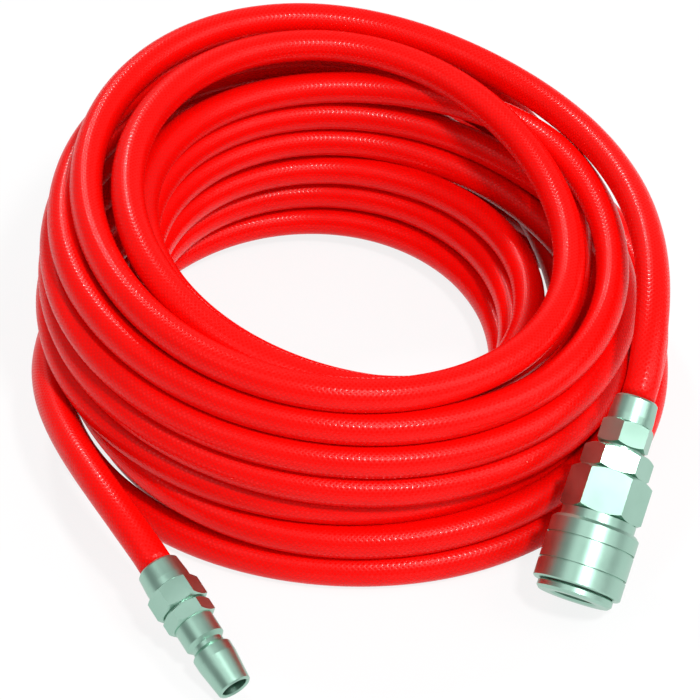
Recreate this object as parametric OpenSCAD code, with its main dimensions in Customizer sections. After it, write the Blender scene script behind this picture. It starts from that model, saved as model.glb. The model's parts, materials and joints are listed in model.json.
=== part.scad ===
// Coiled air hose with a one-touch socket on one end and a plug on the other.
// Everything is in millimetres, +Z up. The hose lies on the plane Z = 0.

/* [Hose] */
// Outside diameter of the braided hose
hose_od = 10; // [9:0.5:11]
// Bore of the hose
hose_id = 6.5; // [6:0.1:6.8]
// Sides of the swept tube where the hose isn't coiled
tube_sides = 10; // [8:1:12]

/* [Coil] */
// Distance between neighbouring turns, a little under the hose where turns nest
turn_pitch = 9.6; // [9.4:0.1:9.8]
// Radius of the free space inside the lower turns
coil_bore_r = 60; // [59:0.2:61]
// Turns side by side in the lower stack
lower_columns = 4; // [3:1:5]
// Turns on top of each other in the lower stack
lower_layers = 4; // [3:1:5]
// Radius of the free space inside the upper turns
upper_bore_r = 64; // [60:1:70]
// Turns side by side in the upper stack
upper_columns = 3; // [3:1:4]
// Turns on top of each other in the upper stack, counted down from its top
upper_layers = 6; // [6:1:7]
// Height of the upper stack's top face above the floor, at the middle of the coil
upper_top_z = 72; // [68:1:76]
// Lean of the upper stack
upper_lean = 10; // [8:0.5:11]
// Direction of the upper stack's high side
upper_lean_toward = 142; // [130:1:155]
// Shift of the upper stack's middle along X and Y
upper_shift = [-1, 1];

/* [Socket barrel] */
// Radius of the barrel
barrel_r = 9; // [8.9:0.1:9.2]
// Radius of the plug bore
plug_bore_r = 6.1; // [6.05:0.05:6.2]
// Radius of the lead-in bore at the mouth
lead_in_r = 6.3; // [6.3:0.05:6.4]
// Length of the lead-in bore
lead_in_l = 4; // [3.5:0.1:4.2]
// Bevel at the mouth
mouth_bevel = 0.6; // [0.4:0.1:0.8]
// Radius of the stop flange at the mouth
flange_r = 11.2; // [11.1:0.1:11.5]
// Thickness of the stop flange
flange_l = 2.6; // [2.2:0.1:3]
// Depth of the plug bore
plug_bore_depth = 22.2; // [22:0.1:22.6]
// Length of the whole barrel
barrel_l = 31; // [30.8:0.1:31.2]
// Distance of the plug seal's groove from the mouth
seal_groove_at = 10.4; // [10.2:0.1:10.8]
// Length of the plug seal's groove
seal_groove_l = 3.6; // [3:0.1:4]
// Depth of the plug seal's groove
seal_groove_depth = 1.5; // [1.3:0.1:1.6]

/* [Locking balls] */
// Number of locking balls
ball_count = 6; // [6:1:6]
// Radius of a locking ball
ball_r = 2; // [1.9:0.05:2]
// Distance of the balls from the mouth
ball_at = 7.2; // [7.1:0.1:7.6]
// Radial travel of a ball
ball_travel = 0.9; // [0.8:0.05:0.9]

/* [Locking sleeve] */
// Outside radius of the sleeve
sleeve_r = 13; // [12.8:0.1:13.4]
// Length of the sleeve
sleeve_l = 19; // [18:0.1:19]
// Travel of the sleeve towards the hose
sleeve_travel = 2.4; // [2.3:0.05:2.4]
// Wall of the sleeve round its spring pocket
sleeve_wall = 1.7; // [1.5:0.1:1.8]
// Bevel on the sleeve's rear edge
sleeve_bevel = 1; // [0.6:0.1:1]
// Distances of the two grip lines from the sleeve's front edge
grip_lines = [5.4, 13];
// Width and depth of a grip line
grip_line = 0.6; // [0.4:0.1:0.8]

/* [Socket body] */
// Width across the flats of the body's hexagon
body_af = 21; // [21:0.5:22]
// Length of the body's hexagon
body_hex_l = 13; // [12.8:0.1:14]
// Length of the collar in front of the hexagon
collar_l = 4.2; // [3.8:0.1:4.6]
// Width across the flats of the hose adapter
adapter_af = 18; // [17.5:0.5:19]
// Length of the hose adapter's hexagon
adapter_hex_l = 7; // [6.5:0.1:8]
// Gap that shows the thread between a hexagon and its hose nut
adapter_gap = 1.1; // [0.6:0.1:1.4]

/* [Valve] */
// Distance of the closed valve's tip from the mouth
valve_tip_at = 18.4; // [18.2:0.1:18.8]
// Outside radius of the valve's tube
valve_tube_r = 4.9; // [4.8:0.05:4.95]
// Wall of the valve's tube
valve_wall = 1.5; // [1.2:0.1:1.6]
// Radius of the valve's head
valve_head_r = 6.6; // [6.4:0.1:6.7]
// Radius of the chamber round the valve's head
chamber_r = 7.6; // [7.5:0.1:7.7]
// Wire of the valve spring
valve_wire_d = 0.8; // [0.7:0.05:0.8]

/* [Hose nuts] */
// Width across the flats of a hose nut
nut_af = 14; // [14:0.5:15]
// Length of a hose nut's hexagon
nut_hex_l = 7.2; // [6.8:0.1:7.6]
// Length of a hose nut's round collar
nut_collar_l = 7.7; // [7.2:0.1:8.2]
// Radius of the thread that a hose nut sits on
nut_thread_r = 6; // [5.9:0.05:6]
// Length of that thread
nut_thread_l = 6.4; // [6:0.1:6.8]
// Length of the nozzle inside the hose
nozzle_l = 7; // [6:0.5:8]
// Number of barbs on the nozzle
nozzle_barbs = 3; // [2:1:4]
// Radius of the air way through nozzles and plug
air_way_r = 2.3; // [2:0.1:2.4]

/* [Plug] */
// Radius of the plug's collar, which runs in the socket's mouth
plug_r = 5.95; // [5.9:0.01:5.98]
// Length of the plug's nose, from its tip to the locking groove
nose_l = 13.2; // [13:0.1:13.6]
// Radius of the nose at its tip
nose_tip_r = 5; // [4.9:0.1:5.2]
// Length of the nose's straight band in front of the locking groove
nose_band_l = 3; // [2.6:0.1:3.4]
// Radius of the opening in the nose
nose_bore_r = 3.8; // [3.4:0.1:4]
// Depth of that opening
nose_bore_l = 9.2; // [8:0.2:10]
// Length of the locking groove
lock_groove_l = 2.5; // [2.5:0.1:3]
// Radius at the bottom of the locking groove
lock_groove_r = 4.8; // [4.7:0.1:4.9]
// Length of the collar between groove and hexagon
plug_collar_l = 6.9; // [6.6:0.1:7.2]
// Width across the flats of the plug's hexagon
plug_af = 13; // [12:0.5:13]
// Length of the plug's hexagon
plug_hex_l = 4.8; // [4.5:0.1:5.5]
// Gap that shows the thread between the plug's hexagon and its nut
plug_gap = 0.4; // [0.3:0.1:0.8]

/* [Hidden] */
$fn = 64;

hose_red = [0.93, 0.08, 0.03];
nickel = [0.72, 0.77, 0.74];
dark_steel = [0.45, 0.47, 0.46];
seal_black = [0.08, 0.08, 0.09];
brass = [0.8, 0.66, 0.35];

// Clearances
thread_gap = 0.1;       // between a thread and its nut, radially
ball_gap = 0.1;         // round a ball in its hole
lock_gap = 0.05;        // between a ball and the sleeve's ramp
slide_gap = 0.3;        // between two pieces that move past each other
lip_gap = 0.1;          // between the sleeve's lip and the barrel
seat_gap = 0.1;         // between a spring or a seal and its seat
cut = 0.01;             // how far a cutter runs past a face
edge = 0.4;             // small bevel on turned edges
over = 1;               // how far a groove cutter reaches outside its shaft
wire_fill = 0.52;       // share of the spring pocket that the sleeve spring's wire fills
spring_turns = 5;
wire_steps = 20;        // rings in one turn of a spring
wire_sides = 6;
large_round = 96;       // sides of the coil and the sleeve
hex_face_in = 0.2;      // how far a hexagon's bevel starts inside its flats
hex_bevel_slope = 0.6;  // how steep that bevel is

hose_r = hose_od / 2;

// Coil: where its middle lies on the floor
coil_middle = [0, 23, 0];
lower_r = coil_bore_r + (lower_columns - 1) * turn_pitch + hose_od;
lower_h = (lower_layers - 1) * turn_pitch + hose_od;
upper_h = (upper_layers - 1) * turn_pitch + hose_od;

// Socket: its mouth, and the way its axis runs from the mouth to the hose
socket_yaw = 65.7;
socket_rise = 39;
socket_mouth = [63.6, -88.3, flange_r * cos(socket_rise)];
socket_along = [
    cos(socket_rise) * cos(socket_yaw), cos(socket_rise) * sin(socket_yaw), sin(socket_rise)
];
body_turn = 40.7;       // how far the hexagons are turned on the axis
adapter_turn = 46.7;
socket_nut_turn = 1;

// Plug: its tip, and the way its axis runs from the tip to the hose
plug_yaw = 124.6;
plug_rise = 20;
plug_tip = [-31.8, -119.5, nose_tip_r * cos(plug_rise)];
plug_along = [cos(plug_rise) * cos(plug_yaw), cos(plug_rise) * sin(plug_yaw), sin(plug_rise)];
plug_turn = 14;
plug_nut_turn = 16;

// Distances along the socket's axis, from its mouth
sleeve_front = flange_l + slide_gap;
sleeve_rear = sleeve_front + sleeve_l;
body_front = sleeve_rear + sleeve_travel + slide_gap;
body_rear = body_front + body_hex_l;
collar_front = body_front - collar_l;
adapter_rear = body_rear + adapter_hex_l;
socket_nut_at = adapter_rear + adapter_gap;
nut_l = nut_hex_l + nut_collar_l;
socket_l = socket_nut_at + nut_l;

// Lock: the ramp inside the sleeve lets the balls out as the sleeve goes back
lock_slope = ball_travel / sleeve_travel;
lip_r = barrel_r + lip_gap;
lip_overlap = 0.8;
lip_l = 3.6;
ramp_lead = 0.6;
ball_rest_r = lip_r + lock_slope * lip_overlap
    - (ball_r + lock_gap) * sqrt(1 + lock_slope * lock_slope);
ramp_rear = ball_at + lip_overlap;
ramp_front = sleeve_front + ramp_lead;
relief_r = lip_r + lock_slope * (ramp_rear - ramp_front);
lip_rear = ramp_rear + lip_l;
front_bevel = edge;
pocket_r = sleeve_r - sleeve_wall;
collar_r = pocket_r - slide_gap;
sleeve_wire_d = wire_fill * (pocket_r - barrel_r);

// Valve: seat, head, seal and spring
seat_bore_r = valve_tube_r + slide_gap;
seat_wall = 1.4;
seat_front = plug_bore_depth + seat_wall;
seat_cone = 1.3;
seal_thick = 0.7;
head_offset = (slide_gap + seal_thick) * sqrt(2);
head_front = seat_front + head_offset + valve_tube_r - seat_bore_r;
head_cone = valve_head_r - valve_tube_r;
head_rim = 1.5;
head_rear = head_front + head_cone + head_rim;
port_r = 1.6;
port_web = 0.5;
spigot_r = 3.2;
spigot_l = 2;
shank_l = 3.2;
shank_r = 8.3;
shank_front = body_rear - shank_l;
spring_pocket_r = 5;
spring_pocket_l = 3.2;

// Ring seals
ring_r = 0.7;
ring_groove_l = 2;
barrel_ring_at = collar_front + ring_groove_l;
adapter_ring_at = shank_front + shank_l / 2;

// Packing seal: its lips, and how far they reach into the bore
seal_lip = 0.7;
seal_bite = 0.4;
seal_lead = 0.5;

// Nozzle barbs and hose nut
barb_depth = 0.4;
barb_start = 0.5;
barb_share = 0.9;
nut_collar_in = 0.3;     // how far the round collar lies inside the flats
nut_collar_r = nut_af / 2 - nut_collar_in;
nut_collar_straight = 2.2;
nut_mouth_wall = 0.7;
nut_mouth_r = hose_r + nut_mouth_wall;
nut_mouth_bevel = 0.6;
nut_squeeze_l = 2.4;

// Plug, along its axis from the tip
groove_flank = 0.6;
nose_cone_l = 2;
collar_start = nose_l + lock_groove_l;
plug_hex_at = collar_start + plug_collar_l;
plug_thread_at = plug_hex_at + plug_hex_l;
plug_nut_at = plug_thread_at + plug_gap;
plug_l = plug_nut_at + nut_l;

// Routes of the hose where it isn't coiled: straight out of the nut, then points laid by hand
straight_out = 4;
socket_tail = [
    socket_mouth + socket_l * socket_along,
    socket_mouth + (socket_l + straight_out) * socket_along,
    [86.5, -33, 55], [88, -22, 59], [89, -9, 61], [89, 6, 61], [88.5, 23, 60.5]
];
plug_tail = [
    plug_tip + plug_l * plug_along,
    plug_tip + (plug_l + straight_out) * plug_along,
    [-65, -71, 24], [-72, -59, 26], [-78.5, -45, 27], [-83.5, -29, 27], [-87, -13, 25.5],
    [-89, 4, 22]
];

// ---------------------------------------------------------------- helpers

module along_socket() {
    translate(socket_mouth) rotate([0, 90 - socket_rise, socket_yaw]) children();
}

module along_plug() {
    translate(plug_tip) rotate([0, 90 - plug_rise, plug_yaw]) children();
}

// A round bar from one height to another
module bar(r, from, to) {
    translate([0, 0, from]) cylinder(r = r, h = to - from);
}

// A cone from one height to another
module taper(r_from, r_to, from, to) {
    translate([0, 0, from]) cylinder(r1 = r_from, r2 = r_to, h = to - from);
}

// A hexagon bar with the corners bevelled at both ends
module hex_bar(af, from, to) {
    corner_r = af / sqrt(3);
    face_r = af / 2 - hex_face_in;
    rim_r = corner_r + hex_face_in;
    bevel = hex_bevel_slope * (rim_r - face_r);
    intersection() {
        translate([0, 0, from]) cylinder(r = corner_r, h = to - from, $fn = 6);
        rotate_extrude() polygon([
            [0, from], [face_r, from], [rim_r, from + bevel], [rim_r, to - bevel],
            [face_r, to], [0, to]
        ]);
    }
}

// A rubber ring of round section
module ring_seal(middle_r, at) {
    translate([0, 0, at]) rotate_extrude() translate([middle_r, 0]) circle(r = ring_r);
}

// A groove round a shaft for a ring seal
module ring_groove(shaft_r, at) {
    difference() {
        bar(shaft_r + over, at - ring_groove_l / 2, at + ring_groove_l / 2);
        bar(shaft_r - 2 * ring_r, at - ring_groove_l, at + ring_groove_l);
    }
}

// The tube that follows a list of points
function unit(v) = v / norm(v);
function heading(path, i) =
    unit(path[min(i + 1, len(path) - 1)] - path[max(i - 1, 0)]);
function round_section(middle, normal, r, sides) =
    let (side = unit(cross(normal, [0, 0, 1])), up = cross(side, normal))
    [for (k = [0 : sides - 1])
        middle + r * (cos(360 * k / sides) * side + sin(360 * k / sides) * up)];
function tube_walls(rings, sides) =
    [for (i = [0 : rings - 2], k = [0 : sides - 1])
        let (a = i * sides + k, b = i * sides + (k + 1) % sides)
        [a, b, b + sides, a + sides]];

module tube(path, r, sides) {
    rings = len(path);
    points = [for (i = [0 : rings - 1]) each round_section(path[i], heading(path, i), r, sides)];
    ends = [[for (k = [sides - 1 : -1 : 0]) k], [for (k = [0 : sides - 1]) (rings - 1) * sides + k]];
    polyhedron(points = points, faces = concat(tube_walls(rings, sides), ends));
}

// A compression spring with a closed turn at each end
closed_pitch = 1.05;
function wire_height(turn, wire, active) =
    wire / 2 + closed_pitch * wire * (min(turn, 1) + max(turn - spring_turns + 1, 0))
    + active * min(max(turn - 1, 0), spring_turns - 2);
function spring_path(mean_r, length, wire) =
    let (active = (length - wire - 2 * closed_pitch * wire) / (spring_turns - 2))
    [for (i = [0 : spring_turns * wire_steps])
        let (turn = i / wire_steps)
        [mean_r * cos(360 * turn), mean_r * sin(360 * turn), wire_height(turn, wire, active)]];

module spring(mean_r, from, to, wire) {
    translate([0, 0, from])
        tube(spring_path(mean_r, to - from, wire), wire / 2, wire_sides);
}

// ---------------------------------------------------------------- hose

// Outline of a stack of turns: round turns at both sides, filled between them
module stack_outline(bore_r, columns, layers) {
    across = (columns - 1) * turn_pitch;
    up = (layers - 1) * turn_pitch;
    for (layer = [0 : layers - 1], side = [0, 1])
        translate([bore_r + hose_r + side * across, hose_r + layer * turn_pitch])
            circle(r = hose_r);
    translate([bore_r + hose_r, 0]) square([across, up + hose_r]);
}

module hose_coil_lower() {
    across = (lower_columns - 1) * turn_pitch;
    color(hose_red) translate(coil_middle) rotate_extrude($fn = large_round) {
        stack_outline(coil_bore_r, lower_columns, lower_layers);
        translate([coil_bore_r + hose_r, 0]) square([across, lower_h]);
    }
}

// The upper turns lean, so only their top row is round and the walls are plain
module hose_coil_upper() {
    reach = 2 * lower_r;
    color(hose_red) difference() {
        translate(coil_middle + [upper_shift[0], upper_shift[1], upper_top_z])
            rotate([0, 0, upper_lean_toward]) rotate([0, -upper_lean, 0])
            rotate_extrude($fn = large_round) translate([upper_bore_r, -upper_h]) {
                square([(upper_columns - 1) * turn_pitch + hose_od, upper_h - hose_r]);
                for (column = [0 : upper_columns - 1])
                    translate([hose_r + column * turn_pitch, upper_h - hose_r])
                        circle(r = hose_r);
            }
        translate([-reach, -reach, lower_h - 2 * reach]) cube(2 * reach);
    }
}

module hose_tail_socket() {
    color(hose_red) tube(socket_tail, hose_r, tube_sides);
}

module hose_tail_plug() {
    color(hose_red) tube(plug_tail, hose_r, tube_sides);
}

// The last stretch of hose, pushed over a nozzle
module hose_end(from, to) {
    color(hose_red) difference() {
        bar(hose_r, from, to);
        bar(hose_id / 2, from - cut, to + cut);
    }
}

module hose_end_socket() {
    along_socket() hose_end(adapter_rear + nut_thread_l + seat_gap, socket_l);
}

module hose_end_plug() {
    along_plug() hose_end(plug_thread_at + nut_thread_l + seat_gap, plug_l);
}

// ---------------------------------------------------------------- socket

// One ball's hole through the barrel's wall, with a lip that keeps the ball in
module ball_hole(turn) {
    lip_at = plug_bore_r + edge;
    rotate([0, 0, turn]) translate([0, 0, ball_at]) rotate([0, 90, 0]) {
        bar(ball_r - lock_gap, plug_bore_r - over, lip_at + cut);
        bar(ball_r + ball_gap, lip_at, barrel_r + over);
    }
}

module socket_barrel() {
    lead_in_end = mouth_bevel + lead_in_l;
    color(nickel) along_socket() difference() {
        union() {
            rotate_extrude() polygon([
                [0, 0], [flange_r - 2 * edge, 0], [flange_r, 2 * edge],
                [flange_r, flange_l - edge], [flange_r - edge, flange_l], [0, flange_l]
            ]);
            bar(barrel_r, flange_l - cut, barrel_l);
        }
        taper(lead_in_r + mouth_bevel + cut, lead_in_r, -cut, mouth_bevel);
        bar(lead_in_r, mouth_bevel - cut, lead_in_end);
        taper(lead_in_r, plug_bore_r, lead_in_end - cut, lead_in_end + edge);
        bar(plug_bore_r, lead_in_end, plug_bore_depth);
        bar(plug_bore_r + seal_groove_depth, seal_groove_at, seal_groove_at + seal_groove_l);
        bar(seat_bore_r, plug_bore_depth - cut, barrel_l + cut);
        taper(seat_bore_r, seat_bore_r + seat_cone, seat_front, seat_front + seat_cone);
        bar(chamber_r, seat_front + seat_cone, barrel_l + cut);
        for (i = [0 : ball_count - 1]) ball_hole(i * 360 / ball_count);
        ring_groove(barrel_r, barrel_ring_at);
    }
}

module locking_ball(i) {
    color(dark_steel) along_socket() rotate([0, 0, (i - 1) * 360 / ball_count])
        translate([ball_rest_r, 0, ball_at]) sphere(r = ball_r);
}

module locking_sleeve() {
    color(nickel) along_socket() difference() {
        rotate_extrude($fn = large_round) polygon([
            [relief_r, sleeve_front], [sleeve_r - front_bevel, sleeve_front],
            [sleeve_r, sleeve_front + front_bevel], [sleeve_r, sleeve_rear - sleeve_bevel],
            [sleeve_r - sleeve_bevel, sleeve_rear], [pocket_r, sleeve_rear],
            [pocket_r, lip_rear], [lip_r, lip_rear], [lip_r, ramp_rear], [relief_r, ramp_front]
        ]);
        for (at = grip_lines) difference() {
            bar(sleeve_r + over, sleeve_front + at, sleeve_front + at + grip_line);
            bar(sleeve_r - grip_line, sleeve_front, sleeve_rear);
        }
    }
}

module sleeve_spring() {
    color(dark_steel) along_socket() spring(
        mean_r = (barrel_r + pocket_r) / 2, from = lip_rear + seat_gap,
        to = collar_front - seat_gap, wire = sleeve_wire_d
    );
}

module plug_seal() {
    outer = plug_bore_r + seal_groove_depth - seat_gap;
    inner = plug_bore_r - seal_bite;
    from = seal_groove_at + seat_gap;
    to = seal_groove_at + seal_groove_l - seat_gap;
    web = to - 2 * seal_lip;
    color(seal_black) along_socket() rotate_extrude() polygon([
        [inner + seal_lead, from], [outer, from], [outer, to], [outer - seal_lip, to],
        [outer - seal_lip, web], [inner + seal_lip, web], [inner + seal_lip, to],
        [inner, to - seal_lead]
    ]);
}

module barrel_seal() {
    color(seal_black) along_socket() ring_seal(barrel_r - ring_r + lock_gap, barrel_ring_at);
}

module valve_poppet() {
    color(brass) along_socket() difference() {
        rotate_extrude() polygon([
            [0, valve_tip_at], [valve_tube_r - edge, valve_tip_at],
            [valve_tube_r, valve_tip_at + edge], [valve_tube_r, head_front],
            [valve_head_r, head_front + head_cone], [valve_head_r, head_rear],
            [spigot_r, head_rear], [spigot_r, head_rear + spigot_l - edge],
            [spigot_r - edge, head_rear + spigot_l], [0, head_rear + spigot_l]
        ]);
        bar(valve_tube_r - valve_wall, valve_tip_at - cut, head_front - port_web);
        for (turn = [0, 90]) rotate([0, 0, turn])
            translate([0, 0, plug_bore_depth]) rotate([0, 90, 0])
            bar(port_r, -chamber_r, chamber_r);
    }
}

module valve_seal() {
    shift = seal_thick * sqrt(2);
    inner = valve_tube_r + seat_gap;
    outer = valve_head_r - seat_gap;
    on_head = head_front - valve_tube_r;
    color(seal_black) along_socket() rotate_extrude() polygon([
        [inner, on_head + inner], [inner, on_head + inner - shift],
        [outer, on_head + outer - shift], [outer, on_head + outer]
    ]);
}

module valve_spring() {
    color(dark_steel) along_socket() spring(
        mean_r = spigot_r + valve_wire_d + seat_gap, from = head_rear + seat_gap,
        to = shank_front + spring_pocket_l - seat_gap, wire = valve_wire_d
    );
}

module socket_body() {
    color(nickel) along_socket() difference() {
        union() {
            bar(collar_r, collar_front, body_front + cut);
            rotate([0, 0, body_turn]) hex_bar(body_af, body_front, body_rear);
        }
        bar(barrel_r + thread_gap, collar_front - cut, barrel_l);
        bar(chamber_r, barrel_l - cut, shank_front);
        bar(shank_r + thread_gap, shank_front - cut, body_rear + cut);
    }
}

// Nozzle with barbs, pushed into the hose
module nozzle(from) {
    barb_r = hose_id / 2 - lock_gap;
    root_r = barb_r - barb_depth;
    barb_l = nozzle_l / (nozzle_barbs + barb_start);
    bar(root_r, from - cut, from + nozzle_l);
    for (i = [0 : nozzle_barbs - 1])
        let (start = from + (i + barb_start) * barb_l)
            taper(barb_r, root_r, start, start + barb_share * barb_l);
}

module hose_adapter() {
    thread_end = adapter_rear + nut_thread_l;
    color(nickel) along_socket() difference() {
        union() {
            bar(shank_r, shank_front, body_rear + cut);
            rotate([0, 0, adapter_turn]) hex_bar(adapter_af, body_rear, adapter_rear);
            bar(nut_thread_r, adapter_rear - cut, thread_end);
            nozzle(thread_end);
        }
        bar(spring_pocket_r, shank_front - cut, shank_front + spring_pocket_l);
        bar(air_way_r, shank_front, thread_end + nozzle_l + cut);
        ring_groove(shank_r, adapter_ring_at);
    }
}

module adapter_seal() {
    color(seal_black) along_socket() ring_seal(shank_r - ring_r + lock_gap, adapter_ring_at);
}

// A nut that squeezes the hose on its nozzle: hexagon in front, round collar behind
module hose_nut(from, turn) {
    to = from + nut_l;
    hex_end = from + nut_hex_l;
    difference() {
        union() {
            rotate([0, 0, turn]) hex_bar(nut_af, from, hex_end);
            rotate_extrude() polygon([
                [0, from + edge], [nut_collar_r, from + edge],
                [nut_collar_r, hex_end + nut_collar_straight],
                [nut_mouth_r + nut_mouth_bevel, to - nut_mouth_bevel], [nut_mouth_r, to], [0, to]
            ]);
        }
        bar(nut_thread_r + thread_gap, from - cut, hex_end);
        taper(
            nut_thread_r + thread_gap, hose_r + thread_gap, hex_end - cut, hex_end + nut_squeeze_l
        );
        bar(hose_r + thread_gap, hex_end, to + cut);
    }
}

module socket_hose_nut() {
    color(nickel) along_socket() hose_nut(socket_nut_at, socket_nut_turn);
}

// ---------------------------------------------------------------- plug

module plug_body() {
    thread_end = plug_thread_at + nut_thread_l;
    color(nickel) along_plug() difference() {
        union() {
            rotate_extrude() polygon([
                [0, 0], [nose_tip_r - edge, 0], [nose_tip_r, edge],
                [plug_r, nose_l - groove_flank - nose_band_l], [plug_r, nose_l - groove_flank],
                [lock_groove_r, nose_l + groove_flank],
                [lock_groove_r, collar_start - groove_flank],
                [plug_r, collar_start + groove_flank],
                [plug_r, plug_hex_at + cut], [0, plug_hex_at + cut]
            ]);
            rotate([0, 0, plug_turn]) hex_bar(plug_af, plug_hex_at, plug_thread_at);
            bar(nut_thread_r, plug_thread_at - cut, thread_end);
            nozzle(thread_end);
        }
        taper(nose_bore_r + edge, nose_bore_r, -cut, edge);
        bar(nose_bore_r, 0, nose_bore_l);
        taper(nose_bore_r, air_way_r, nose_bore_l - cut, nose_bore_l + nose_cone_l);
        bar(air_way_r, nose_bore_l, thread_end + nozzle_l + cut);
    }
}

module plug_hose_nut() {
    color(nickel) along_plug() hose_nut(plug_nut_at, plug_nut_turn);
}

// ---------------------------------------------------------------- nodes

hose_coil_lower();
hose_coil_upper();
hose_tail_socket();
hose_tail_plug();
hose_end_socket();
hose_end_plug();
socket_barrel();
locking_ball(1);  // locking_ball_1
locking_ball(2);  // locking_ball_2
locking_ball(3);  // locking_ball_3
locking_ball(4);  // locking_ball_4
locking_ball(5);  // locking_ball_5
locking_ball(6);  // locking_ball_6
locking_sleeve();
sleeve_spring();
plug_seal();
barrel_seal();
valve_poppet();
valve_seal();
valve_spring();
socket_body();
hose_adapter();
adapter_seal();
socket_hose_nut();
plug_body();
plug_hose_nut();
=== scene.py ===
"""Coiled braided air hose with a one-touch socket and a plug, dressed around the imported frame."""

import json
import logging
import math
from dataclasses import dataclass, fields, replace
from enum import Enum

import bpy
import numpy as np
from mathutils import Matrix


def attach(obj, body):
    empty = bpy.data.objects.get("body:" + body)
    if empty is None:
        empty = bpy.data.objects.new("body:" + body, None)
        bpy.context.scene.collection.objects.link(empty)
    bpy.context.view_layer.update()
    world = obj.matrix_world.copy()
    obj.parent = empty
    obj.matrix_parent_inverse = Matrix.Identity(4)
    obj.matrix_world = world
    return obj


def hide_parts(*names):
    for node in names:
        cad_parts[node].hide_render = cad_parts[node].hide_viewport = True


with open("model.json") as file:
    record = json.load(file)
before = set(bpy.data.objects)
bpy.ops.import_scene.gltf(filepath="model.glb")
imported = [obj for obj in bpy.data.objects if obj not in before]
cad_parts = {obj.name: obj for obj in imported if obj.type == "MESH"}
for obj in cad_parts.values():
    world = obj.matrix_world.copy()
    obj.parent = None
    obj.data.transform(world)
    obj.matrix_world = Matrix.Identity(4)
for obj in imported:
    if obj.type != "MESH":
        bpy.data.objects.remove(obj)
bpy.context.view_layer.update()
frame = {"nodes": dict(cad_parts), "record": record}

log = logging.getLogger("air_hose")

MM = 0.001
HOSE_OD = 10.0
COIL_MIDDLE = (0.0, 23.0)
FULL_TURN = 360.0
ROOT_BODY = "hose_and_fittings"
WHITE = (1.0, 1.0, 1.0, 1.0)

Colour = tuple[float, float, float]
Span = tuple[float, float]
Point = tuple[float, float, float]
Socket = bpy.types.NodeSocket


class Slot(Enum):
    """The record's material slots."""

    HOSE = "hose"
    PLATED = "plated_steel"
    HARD = "hard_steel"
    WIRE = "spring_steel"
    BRASS = "brass"
    SEAL = "seal_rubber"


# ---------------------------------------------------------------- finishes


class Nodes:
    """A short-hand for wiring one material's node tree."""

    def __init__(self, name: str) -> None:
        """Start a material of that name with only its output node.

        Args:
            name: The material's name.
        """
        self.material = bpy.data.materials.new(name)
        self.material.use_nodes = True
        self.tree = self.material.node_tree
        self.tree.nodes.clear()
        self.output = self.tree.nodes.new("ShaderNodeOutputMaterial")

    def add(self, kind: str, **sockets: object) -> bpy.types.Node:
        """Add a node and set or link its inputs.

        Args:
            kind: The node's type name without "ShaderNode".
            **sockets: Input names, with underscores for spaces, and a value or an output socket.

        Returns:
            The new node.
        """
        node = self.tree.nodes.new("ShaderNode" + kind)
        for name, value in sockets.items():
            self.feed(node, name.replace("_", " "), value)
        return node

    def feed(self, node: bpy.types.Node, name: str | int, value: object) -> None:
        """Set or link one input of a node.

        Args:
            node: The node to feed.
            name: The input's name or index.
            value: A constant, or an output socket to link from.
        """
        socket = node.inputs[name]
        if isinstance(value, Socket):
            self.tree.links.new(value, socket)
        else:
            socket.default_value = value

    def math(self, operation: str, *values: object) -> Socket:
        """Add a Math node.

        Args:
            operation: The node's operation.
            *values: Its inputs in order.

        Returns:
            The result's socket.
        """
        node = self.tree.nodes.new("ShaderNodeMath")
        node.operation = operation
        for index, value in enumerate(values):
            self.feed(node, index, value)
        return node.outputs[0]

    def noise(self, vector: Socket, scale: float, detail: float) -> Socket:
        """Add a Noise texture and return its value socket.

        Args:
            vector: Where the pattern is read.
            scale: The pattern's scale.
            detail: Its number of octaves.

        Returns:
            The noise value from 0 to 1.
        """
        return self.add("TexNoise", Vector=vector, Scale=scale, Detail=detail).outputs["Fac"]

    def spread(self, value: Socket, low: float, high: float) -> Socket:
        """Map a value from 0..1 to a range.

        Args:
            value: The input.
            low: Result at 0.
            high: Result at 1.

        Returns:
            The mapped value.
        """
        node = self.add("MapRange", Value=value)
        node.inputs["To Min"].default_value = low
        node.inputs["To Max"].default_value = high
        return node.outputs[0]

    def two_tone(self, factor: Socket, low: Colour, high: Colour) -> Socket:
        """Mix two colours.

        Args:
            factor: 0 gives the first colour, 1 the second.
            low: The first colour.
            high: The second colour.

        Returns:
            The mixed colour's socket.
        """
        node = self.tree.nodes.new("ShaderNodeMix")
        node.data_type = "RGBA"
        colour_inputs = [socket for socket in node.inputs if socket.type == "RGBA"]
        self.tree.links.new(factor, node.inputs["Factor"])
        for socket, colour in zip(colour_inputs, (low, high)):
            socket.default_value = (*colour, 1.0)
        return next(socket for socket in node.outputs if socket.type == "RGBA")

    def bump(self, height: Socket, strength: float, distance: float) -> Socket:
        """Add a Bump node.

        Args:
            height: The height pattern.
            strength: How strongly it shows.
            distance: The pattern's depth in metres.

        Returns:
            The bent normal's socket.
        """
        return self.add("Bump", Height=height, Strength=strength, Distance=distance).outputs[0]

    def mix_shaders(self, share: Socket, first: Socket, second: Socket) -> bpy.types.Node:
        """Mix two shaders.

        Args:
            share: 0 gives the first shader, 1 the second.
            first: The first shader.
            second: The second shader.

        Returns:
            The mixing node.
        """
        node = self.tree.nodes.new("ShaderNodeMixShader")
        for index, value in enumerate((share, first, second)):
            self.feed(node, index, value)
        return node

    def close(self, shader: bpy.types.Node) -> bpy.types.Material:
        """Link a shader to the output and return the material."""
        self.tree.links.new(shader.outputs[0], self.output.inputs["Surface"])
        return self.material


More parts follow.
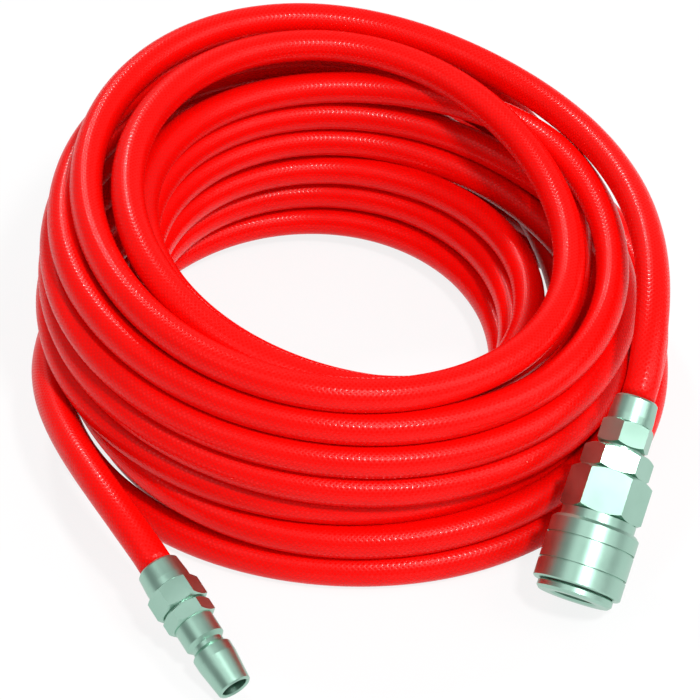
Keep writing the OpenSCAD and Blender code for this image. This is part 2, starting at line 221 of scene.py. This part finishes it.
def linear(value: float) -> float:
    """Turn one display value into a linear one, by the sRGB standard's curve.

    Args:
        value: Display value from 0 to 1.

    Returns:
        The linear value.
    """
    straight_below, slope, offset, gamma = 0.04045, 12.92, 0.055, 2.4
    if value <= straight_below:
        return value / slope
    return ((value + offset) / (1.0 + offset)) ** gamma


def srgb(red: float, green: float, blue: float) -> Colour:
    """Turn a display colour into the linear colour that a shader takes.

    Args:
        red: Display red from 0 to 1.
        green: Display green from 0 to 1.
        blue: Display blue from 0 to 1.

    Returns:
        The linear colour.
    """
    return linear(red), linear(green), linear(blue)


@dataclass(frozen=True)
class BraidedHose:
    """Clear glossy cover over a red braid of fine crossing yarns, whose grooves carry painted shade."""

    name: str = "braided_red_hose"
    # The groove colour is painted shade: the same red yarn darkened where shade falls into the braid's
    # grooves.
    groove_painted_shade: Colour = srgb(0.7, 0.0, 0.0)
    yarn: Colour = srgb(1.0, 0.03, 0.012)
    yarns_around: int = 20
    groove_depth: float = 0.0001
    bump_strength: float = 0.4
    groove_shade: Span = (0.62, 1.0)
    patch_scale: float = 0.7
    patch_detail: float = 3.0
    patch_shade: Span = (0.82, 1.12)
    roughness: Span = (0.4, 0.08)
    specular: float = 0.16

    def build(self) -> bpy.types.Material:
        """Build the material; it reads the piece's own UV map, in hose diameters and turns.

        Returns:
            The material.
        """
        nodes = Nodes(self.name)
        lay = nodes.add("TexCoord").outputs["UV"]
        parts = nodes.add("SeparateXYZ", Vector=lay)
        along = nodes.math("MULTIPLY", parts.outputs[0], 2 * self.yarns_around)
        around = nodes.math("MULTIPLY", parts.outputs[1], 2 * math.pi * self.yarns_around)
        left = nodes.math("SINE", nodes.math("ADD", along, around))
        right = nodes.math("SINE", nodes.math("SUBTRACT", along, around))
        half = 0.5
        weave = nodes.math("MULTIPLY_ADD", nodes.math("MINIMUM", left, right), half, half)
        patch = nodes.noise(lay, self.patch_scale, self.patch_detail)
        # Painted shade: the weave's grooves get the darker groove colour; the noise patches below are
        # random tone.
        painted_shade_in_grooves = nodes.spread(weave, *self.groove_shade)
        patch_shade = nodes.spread(patch, *self.patch_shade)
        shade = nodes.math("MULTIPLY", painted_shade_in_grooves, patch_shade)
        shader = nodes.add("BsdfPrincipled")
        nodes.feed(shader, "Base Color", nodes.two_tone(shade, self.groove_painted_shade, self.yarn))
        nodes.feed(shader, "Roughness", nodes.spread(weave, *self.roughness))
        nodes.feed(shader, "Normal", nodes.bump(weave, self.bump_strength, self.groove_depth))
        nodes.feed(shader, "Specular IOR Level", self.specular)
        return nodes.close(shader)


@dataclass(frozen=True)
class Metal:
    """Turned or plated metal with fine turning lines round its axis and faint stains."""

    name: str
    tone: Colour
    worn: Colour
    roughness: Span
    axis: Point = (0.0, 0.0, 1.0)
    stain_scale: float = 70.0
    stain_detail: float = 4.0
    line_scale: float = 2600.0
    line_strength: float = 0.12
    line_depth: float = 0.00002

    def build(self) -> bpy.types.Material:
        """Build the material on Object coordinates; lines run round the axis.

        Returns:
            The material.
        """
        nodes = Nodes(self.name)
        place = nodes.add("TexCoord").outputs["Object"]
        stain = nodes.noise(place, self.stain_scale, self.stain_detail)
        along = nodes.tree.nodes.new("ShaderNodeVectorMath")
        along.operation = "DOT_PRODUCT"
        nodes.feed(along, 0, place)
        nodes.feed(along, 1, self.axis)
        lines = nodes.tree.nodes.new("ShaderNodeTexNoise")
        lines.noise_dimensions = "1D"
        nodes.feed(lines, "W", along.outputs["Value"])
        nodes.feed(lines, "Scale", self.line_scale)
        shader = nodes.add("BsdfPrincipled")
        nodes.feed(shader, "Base Color", nodes.two_tone(stain, self.worn, self.tone))
        nodes.feed(shader, "Roughness", nodes.spread(stain, *self.roughness))
        bent = nodes.bump(lines.outputs["Fac"], self.line_strength, self.line_depth)
        nodes.feed(shader, "Normal", bent)
        nodes.feed(shader, "Metallic", 1.0)
        return nodes.close(shader)


@dataclass(frozen=True)
class Rubber:
    """Matte black seal rubber with a faint bloom."""

    name: str = "seal_rubber_black"
    tone: Colour = srgb(0.09, 0.09, 0.1)
    bloom: Colour = srgb(0.16, 0.16, 0.17)
    dust_scale: float = 400.0
    dust_detail: float = 4.0
    dust_strength: float = 0.2
    dust_depth: float = 0.00003
    roughness: Span = (0.55, 0.8)

    def build(self) -> bpy.types.Material:
        """Build the material on Object coordinates.

        Returns:
            The material.
        """
        nodes = Nodes(self.name)
        place = nodes.add("TexCoord").outputs["Object"]
        dust = nodes.noise(place, self.dust_scale, self.dust_detail)
        shader = nodes.add("BsdfPrincipled")
        nodes.feed(shader, "Base Color", nodes.two_tone(dust, self.tone, self.bloom))
        nodes.feed(shader, "Roughness", nodes.spread(dust, *self.roughness))
        nodes.feed(shader, "Normal", nodes.bump(dust, self.dust_strength, self.dust_depth))
        return nodes.close(shader)


@dataclass(frozen=True)
class Backdrop:
    """Pale floor that the camera, gloss and clear things see as white, with the real shadow on it."""

    name: str = "pale_floor"
    white_share: float = 0.85
    tone: tuple[float, float, float, float] = (0.9, 0.9, 0.9, 1.0)

    def build(self) -> bpy.types.Material:
        """Build the material.

        Returns:
            The material.
        """
        nodes = Nodes(self.name)
        floor = nodes.add("BsdfDiffuse", Color=self.tone)
        glow = nodes.add("Emission", Color=WHITE, Strength=1.0)
        path = nodes.add("LightPath")
        seen = nodes.math("MAXIMUM", path.outputs["Is Camera Ray"], path.outputs["Is Glossy Ray"])
        seen = nodes.math("MAXIMUM", seen, path.outputs["Is Transmission Ray"])
        share = nodes.math("MULTIPLY", seen, self.white_share)
        return nodes.close(nodes.mix_shaders(share, floor.outputs[0], glow.outputs[0]))


FINISHES = {
    Slot.HOSE: BraidedHose(),
    Slot.PLATED: Metal("plated_steel", srgb(0.7, 0.84, 0.78), srgb(0.57, 0.73, 0.66), (0.28, 0.46)),
    Slot.HARD: Metal("ball_steel", srgb(0.8, 0.82, 0.82), srgb(0.7, 0.72, 0.72), (0.08, 0.2)),
    Slot.WIRE: Metal("spring_wire", srgb(0.6, 0.62, 0.61), srgb(0.45, 0.46, 0.45), (0.25, 0.5)),
    Slot.BRASS: Metal("valve_brass", srgb(0.86, 0.7, 0.38), srgb(0.72, 0.56, 0.28), (0.2, 0.45)),
    Slot.SEAL: Rubber(),
}


# ---------------------------------------------------------------- camera and light


@dataclass(frozen=True)
class Lamp:
    """A soft square lamp, in metres and watts."""

    name: str
    place: Point
    size: float
    watts: float

    def add(self, aim: Point) -> None:
        """Add the lamp to the scene.

        Args:
            aim: The point that it looks at.
        """
        bpy.ops.object.light_add(type="AREA", location=self.place)
        lamp = bpy.context.object
        lamp.name = self.name
        lamp.data.size = self.size
        lamp.data.energy = self.watts
        toward = np.array(aim) - np.array(self.place)
        yaw = math.atan2(toward[1], toward[0]) - math.pi / 2
        pitch = math.acos(-toward[2] / float(np.linalg.norm(toward)))
        lamp.rotation_euler = (pitch, 0.0, yaw)


@dataclass(frozen=True)
class Studio:
    """Camera, lamps, world and floor."""

    elevation: float = 39.0
    distance: float = 0.85
    lens: float = 137.8
    near_clip: float = 0.01
    aim: Point = (0.0, 0.023, 0.00986)
    floor_size: float = 6.0
    world_light: float = 0.33
    lamps: tuple[Lamp, ...] = (
        Lamp("key", (0.4, -0.72, 1.17), 0.16, 12.0),
        Lamp("card", (-0.57, -0.52, 1.16), 0.7, 1.9),
        Lamp("fill", (1.1, -0.3, 0.9), 0.9, 6.0),
        Lamp("back", (-0.4, 1.0, 1.2), 0.18, 9.0),
    )

    def camera(self) -> None:
        """Place the camera and make it the scene's own."""
        tilt = math.radians(self.elevation)
        place = (
            self.aim[0],
            self.aim[1] - self.distance * math.cos(tilt),
            self.aim[2] + self.distance * math.sin(tilt),
        )
        bpy.ops.object.camera_add(location=place, rotation=(math.pi / 2 - tilt, 0.0, 0.0))
        camera = bpy.context.object
        camera.data.lens = self.lens
        camera.data.clip_start = self.near_clip
        bpy.context.scene.camera = camera

    def lights(self) -> None:
        """Add the lamps and a dim even world."""
        for lamp in self.lamps:
            lamp.add(self.aim)
        world = bpy.data.worlds.new("studio")
        world.use_nodes = True
        background = world.node_tree.nodes["Background"]
        background.inputs["Color"].default_value = WHITE
        background.inputs["Strength"].default_value = self.world_light
        bpy.context.scene.world = world
        bpy.context.scene.view_settings.view_transform = "Standard"

    def floor(self) -> None:
        """Lay the pale floor that the object stands on."""
        bpy.ops.mesh.primitive_plane_add(size=self.floor_size, location=(0.0, 0.0, 0.0))
        floor = bpy.context.object
        floor.name = "floor"
        floor.data.materials.append(Backdrop().build())


# ---------------------------------------------------------------- hose


Hint = Span | None


@dataclass(frozen=True)
class Turn:
    """One turn of the coil: its distance from the coil's middle and its height, in millimetres.

    Turns run against the clock from the right, as seen from above. A place that is left out has no
    hint, and the turn runs smoothly past it.
    """

    right: Hint = None
    right_back: Hint = None
    back: Hint = None
    left_back: Hint = None
    left: Hint = None
    left_front: Hint = None
    front: Hint = None
    right_front: Hint = None

    def stations(self) -> list[tuple[float, Span]]:
        """List the places that have a hint.

        Returns:
            Each such place's angle in degrees and its hint.
        """
        hints = [getattr(self, entry.name) for entry in fields(self)]
        step = FULL_TURN / len(hints)
        return [(step * number, hint) for number, hint in enumerate(hints) if hint is not None]


@dataclass(frozen=True)
class Fitting:
    """A fitting's axis: its free end, the way towards the hose and its length, in millimetres."""

    tip: Point
    yaw: float
    rise: float
    length: float

    @classmethod
    def resting(cls, spot: Span, rim: float, yaw: float, rise: float, length: float) -> "Fitting":
        """Describe a fitting whose free end rests on the floor with its rim.

        Args:
            spot: Where the middle of the free end is, seen from above.
            rim: Radius of the free end.
            yaw: Direction on the floor, in degrees.
            rise: Slope, in degrees.
            length: Length from the free end to where the hose comes out.

        Returns:
            The fitting.
        """
        return cls((*spot, rim * math.cos(math.radians(rise))), yaw, rise, length)

    def along(self) -> np.ndarray:
        """Work out the way from the free end to the hose.

        Returns:
            The unit vector.
        """
        yaw, rise = math.radians(self.yaw), math.radians(self.rise)
        flat = math.cos(rise)
        return np.array([flat * math.cos(yaw), flat * math.sin(yaw), math.sin(rise)])

    def hose_end(self, beyond: float = 0.0) -> np.ndarray:
        """Work out where the hose leaves the fitting.

        Args:
            beyond: How much further along the axis the point lies.

        Returns:
            The point in millimetres.
        """
        return np.array(self.tip) + (self.length + beyond) * self.along()


SOCKET = Fitting.resting((63.6, -88.3), rim=11.2, yaw=65.7, rise=39.0, length=60.6)
PLUG = Fitting.resting((-31.8, -119.5), rim=5.0, yaw=124.6, rise=20.0, length=42.7)


@dataclass(frozen=True)
class Hose:
    """The whole hose: socket tail, coiled turns and plug tail, as one swept tube.

    The turns are in millimetres. The tails' routes repeat those of the part's source, in metres.
    """

    turns: tuple[Turn, ...] = (
        Turn((88.5, 60.5), (83, 63), (89.5, 79), (89.5, 79), (79.5, 74), None, (86, 60.5)),
        Turn((68, 51), (74.5, 63), (79, 75), None, (68, 78), None, (78, 56)),
        Turn((71, 42), (86, 55), (91, 69), None, (88, 66), (88, 58), (88, 51)),
        Turn((82, 48), (76, 54), (74, 62), None, (66, 66), None, (67, 48)),
        Turn((75, 33), (88, 42), (91, 59), None, (91, 56), None, (91, 41)),
        Turn((85, 37), (77, 43), (75, 51), None, (66, 55), None, (66, 38)),
        Turn((70, 21), (86, 30), (92, 49), None, (92, 46), None, (92, 32)),
        Turn((85, 28), (76, 33), (75, 41), None, (66, 44), None, (65, 28)),
        Turn((60, 30), (63, 30), (75, 30), None, (66, 33), None, (65, 17)),
        Turn((54, 20), (60, 20.5), (75, 20), (78, 19.5), (67, 21), None, (67, 7)),
        Turn((51, 9), (56, 10), (74, 9), (80, 9), (81, 6), (84, 5), (85, 5)),
        Turn((93, 5), (85, 6), (92, 8), None, (94, 6), None, (96, 5), (97, 5)),
        Turn((94, 14), None, (93, 28), None, (93, 27), None, (94, 14)),
        Turn((95, 24), None, (92, 39), None, (93, 36), None, (92, 23)),
        Turn((84, 14), None, (92, 18), None, (90, 16)),
    )
    socket_route: tuple[Point, ...] = (
        (0.0865, -0.033, 0.055), (0.088, -0.022, 0.059), (0.089, -0.009, 0.061), (0.089, 0.006, 0.061),
    )
    plug_route: tuple[Point, ...] = (
        (-0.089, 0.004, 0.022), (-0.087, -0.013, 0.0255), (-0.0835, -0.029, 0.027),
        (-0.0785, -0.045, 0.027), (-0.072, -0.059, 0.026), (-0.065, -0.071, 0.024),
    )
    straight_out: float = 4.0
    points_a_turn: int = 48
    spacing: float = 5.0
    rounds: int = 500
    rounds_a_search: int = 10
    search_diameters: float = 1.5
    neighbour_diameters: float = 3.0
    hold: float = 0.008
    sides: int = 24
    ring_spacing: float = 2.5
    fixed_points: int = 4
    smoothing: tuple[tuple[int, float], ...] = ((1, 0.6), (2, 0.6), (4, 0.3))
    bend_weights: tuple[int, ...] = (1, -4, 6, -4, 1)

    def coiled(self) -> np.ndarray:
        """Work out the coiled turns by running round the coil's middle.

        Returns:
            Points along the turns, in millimetres.
        """
        angles: list[float] = []
        hints: list[Span] = []
        for number, turn in enumerate(self.turns):
            for angle, hint in turn.stations():
                angles.append(FULL_TURN * number + angle)
                hints.append(hint)
        step = FULL_TURN / self.points_a_turn
        fine = step * np.arange(int(angles[-1] / step) + 1)
        reach, height = smooth_curve(np.array(angles), np.array(hints), fine).T
        turned = np.radians(fine)
        across = COIL_MIDDLE[0] + reach * np.cos(turned)
        deep = COIL_MIDDLE[1] + reach * np.sin(turned)
        return np.stack([across, deep, height], axis=1)

    def settle(self, points: np.ndarray) -> np.ndarray:
        """Let the turns push each other apart and bend smoothly, as a stiff hose does.

        Args:
            points: The rough line, evenly spaced.

        Returns:
            The settled line.
        """
        home = points.copy()
        count = len(points)
        fixed = np.r_[0 : self.fixed_points, count - self.fixed_points : count]
        skip = int(math.ceil(self.neighbour_diameters * HOSE_OD / self.spacing))
        for number in range(self.rounds):
            if number % self.rounds_a_search == 0:
                pairs = close_pairs(points, skip, self.search_diameters * HOSE_OD)
            back = self.hold * (1.0 - number / self.rounds)
            moved = points + push_apart(points, *pairs) + self.straighten(points) + back * (home - points)
            moved[:, 2] = np.maximum(moved[:, 2], HOSE_OD / 2)
            moved[fixed] = home[fixed]
            points = moved
        return points

    def straighten(self, points: np.ndarray) -> np.ndarray:
        """Return the small move that takes kinks out of the line.

        Args:
            points: The line.

        Returns:
            One move per point.
        """
        move = np.zeros_like(points)
        last = len(self.bend_weights) - 1
        full_share = sum(abs(weight) for weight in self.bend_weights)
        for stride, strength in self.smoothing:
            count = len(points) - last * stride
            starts = [stride * place for place in range(last + 1)]
            bend = sum(w * points[start : start + count] for w, start in zip(self.bend_weights, starts))
            middle = starts[last // 2]
            move[middle : middle + count] -= strength * bend / full_share
        return move

    def centreline(self) -> np.ndarray:
        """Join the tails and the turns and settle them.

        Returns:
            The hose's centreline in metres, from the socket to the plug.
        """
        head = [SOCKET.hose_end(), SOCKET.hose_end(self.straight_out)]
        tail = [PLUG.hose_end(self.straight_out), PLUG.hose_end()]
        from_socket = np.array(self.socket_route) / MM
        to_plug = np.array(self.plug_route) / MM
        rough = np.vstack([head, from_socket, self.coiled(), to_plug, tail])
        settled = self.settle(evenly_spaced(rough, self.spacing))
        return evenly_spaced(settled, self.ring_spacing) * MM

    def rings(self, line: np.ndarray) -> np.ndarray:
        """Place a ring of points round each point of the line, without twist.

        Args:
            line: The centreline in metres.

        Returns:
            The rings' points, one ring after another.
        """
        tangents = np.gradient(line, axis=0)
        tangents /= np.linalg.norm(tangents, axis=1)[:, None]
        side = np.cross(tangents[0], (0.0, 0.0, 1.0))
        angles = 2 * math.pi * np.arange(self.sides) / self.sides
        radius = HOSE_OD / 2 * MM
        rings = []
        for point, tangent in zip(line, tangents):
            side = side - tangent * float(side @ tangent)
            side /= np.linalg.norm(side)
            over = np.cross(tangent, side)
            rings.append(point + radius * (np.cos(angles)[:, None] * side + np.sin(angles)[:, None] * over))
        return np.concatenate(rings)

    def tube(self, line: np.ndarray) -> bpy.types.Object:
        """Sweep a round tube along the line, with a UV map in diameters along and turns around.

        Args:
            line: The centreline in metres.

        Returns:
            The tube's object.
        """
        faces = []
        lay = []
        step = self.ring_spacing / HOSE_OD
        for ring in range(len(line) - 1):
            start, near, far = ring * self.sides, ring * step, (ring + 1) * step
            for k in range(self.sides):
                here, after = start + k, start + (k + 1) % self.sides
                low, high = k / self.sides, (k + 1) / self.sides
                faces.append((here, here + self.sides, after + self.sides, after))
                lay += [(near, low), (far, low), (far, high), (near, high)]
        last = (len(line) - 1) * self.sides
        faces.append(tuple(range(self.sides)))
        faces.append(tuple(last + k for k in reversed(range(self.sides))))
        mesh = bpy.data.meshes.new("hose")
        mesh.from_pydata(self.rings(line).tolist(), [], faces)
        corners = np.zeros((len(mesh.loops), 2))
        corners[: len(lay)] = lay
        mesh.uv_layers.new(name="hose_lay").data.foreach_set("uv", corners.ravel())
        mesh.shade_smooth()
        piece = bpy.data.objects.new("hose", mesh)
        bpy.context.scene.collection.objects.link(piece)
        return piece

    def build(self) -> bpy.types.Object:
        """Returns:
            The hose's object.
        """
        line = self.centreline()
        piece = self.tube(line)
        piece.data.materials.append(FINISHES[Slot.HOSE].build())
        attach(piece, ROOT_BODY)
        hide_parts("hose_coil_lower", "hose_coil_upper", "hose_tail_socket", "hose_tail_plug")
        return piece


def smooth_curve(at: np.ndarray, values: np.ndarray, wanted: np.ndarray) -> np.ndarray:
    """Run a smooth curve through given values, as cubic Hermite pieces.

    Args:
        at: Where the values are given, rising.
        values: One row per place.
        wanted: Where the curve is read.

    Returns:
        The curve's rows.
    """
    slopes = np.gradient(values.astype(float), at, axis=0)
    index = np.clip(np.searchsorted(at, wanted) - 1, 0, len(at) - 2)
    width = (at[index + 1] - at[index])[:, None]
    share = (wanted - at[index])[:, None] / width
    return (
        (2 * share**3 - 3 * share**2 + 1) * values[index]
        + (share**3 - 2 * share**2 + share) * width * slopes[index]
        + (3 * share**2 - 2 * share**3) * values[index + 1]
        + (share**3 - share**2) * width * slopes[index + 1]
    )


def evenly_spaced(points: np.ndarray, spacing: float) -> np.ndarray:
    """Read a line at even steps along its length.

    Args:
        points: The line.
        spacing: The wanted step.

    Returns:
        The evenly spaced line.
    """
    run = np.concatenate([[0.0], np.cumsum(np.linalg.norm(np.diff(points, axis=0), axis=1))])
    count = int(round(run[-1] / spacing)) + 1
    return smooth_curve(run, points, np.linspace(0.0, run[-1], count))


def close_pairs(
    points: np.ndarray, skip: int, reach: float, block: int = 200
) -> tuple[np.ndarray, np.ndarray]:
    """List the pairs of points that are near each other but not neighbours on the line.

    Args:
        points: The line.
        skip: How many steps along the line count as neighbours.
        reach: The largest distance listed.
        block: How many points are compared with all others at a time.

    Returns:
        The first and the second index of each pair.
    """
    found = []
    for start in range(0, len(points), block):
        apart = points[start : start + block, None, :] - points[None, :, :]
        first, second = np.nonzero((apart**2).sum(-1) < reach * reach)
        first = first + start
        keep = second - first > skip
        found.append(np.stack([first[keep], second[keep]]))
    pairs = np.concatenate(found, axis=1)
    return pairs[0], pairs[1]


def push_apart(points: np.ndarray, first: np.ndarray, second: np.ndarray) -> np.ndarray:
    """Work out how touching stretches of the hose push each other.

    Args:
        points: The line.
        first: The first index of each near pair.
        second: The second index of each near pair.

    Returns:
        One move per point.
    """
    nearly_nothing = 1e-6
    count = len(points)
    apart = points[first] - points[second]
    distance = np.linalg.norm(apart, axis=1) + nearly_nothing
    push = np.clip(HOSE_OD - distance, 0.0, None) / distance
    touching = push > 0.0
    contacts = np.bincount(first[touching], minlength=count) + np.bincount(
        second[touching], minlength=count
    )
    each = push[:, None] * apart / 2
    move = [np.bincount(first, part, count) - np.bincount(second, part, count) for part in each.T]
    return np.stack(move, axis=1) / np.sqrt(np.maximum(contacts, 1))[:, None]


# ---------------------------------------------------------------- fittings


@dataclass(frozen=True)
class Fittings:
    """The socket's and the plug's CAD pieces, which keep their shape and get their finishes."""

    plug_prefix: str = "plug_"
    socket_pieces: tuple[str, ...] = ("plug_seal",)

    def owner(self, node: str) -> Fitting:
        """Return the fitting that a CAD node is part of.

        Args:
            node: The node's name.

        Returns:
            The socket or the plug.
        """
        on_plug = node.startswith(self.plug_prefix) and node not in self.socket_pieces
        return PLUG if on_plug else SOCKET

    def dress(self) -> None:
        """Give every carried-over CAD node the material of its slot, turned to its own axis."""
        built = {}
        for entry in frame["record"]["subparts"]:
            slot = Slot(entry["material_slot"])
            fitting = self.owner(entry["node"])
            if (slot, fitting) not in built:
                finish = FINISHES[slot]
                if isinstance(finish, Metal):
                    finish = replace(finish, axis=tuple(fitting.along().tolist()))
                built[slot, fitting] = finish.build()
            piece = frame["nodes"][entry["node"]]
            piece.data.materials.clear()
            piece.data.materials.append(built[slot, fitting])
            log.info("%s: %s", entry["node"], slot.value)


def main() -> None:
    """Build the studio, the hose and the fittings in order."""
    bpy.ops.object.select_all(action="DESELECT")
    studio = Studio()
    studio.camera()
    Hose().build()
    Fittings().dress()
    studio.lights()
    studio.floor()


if __name__ == "__main__":
    logging.basicConfig(level=logging.INFO)
    main()
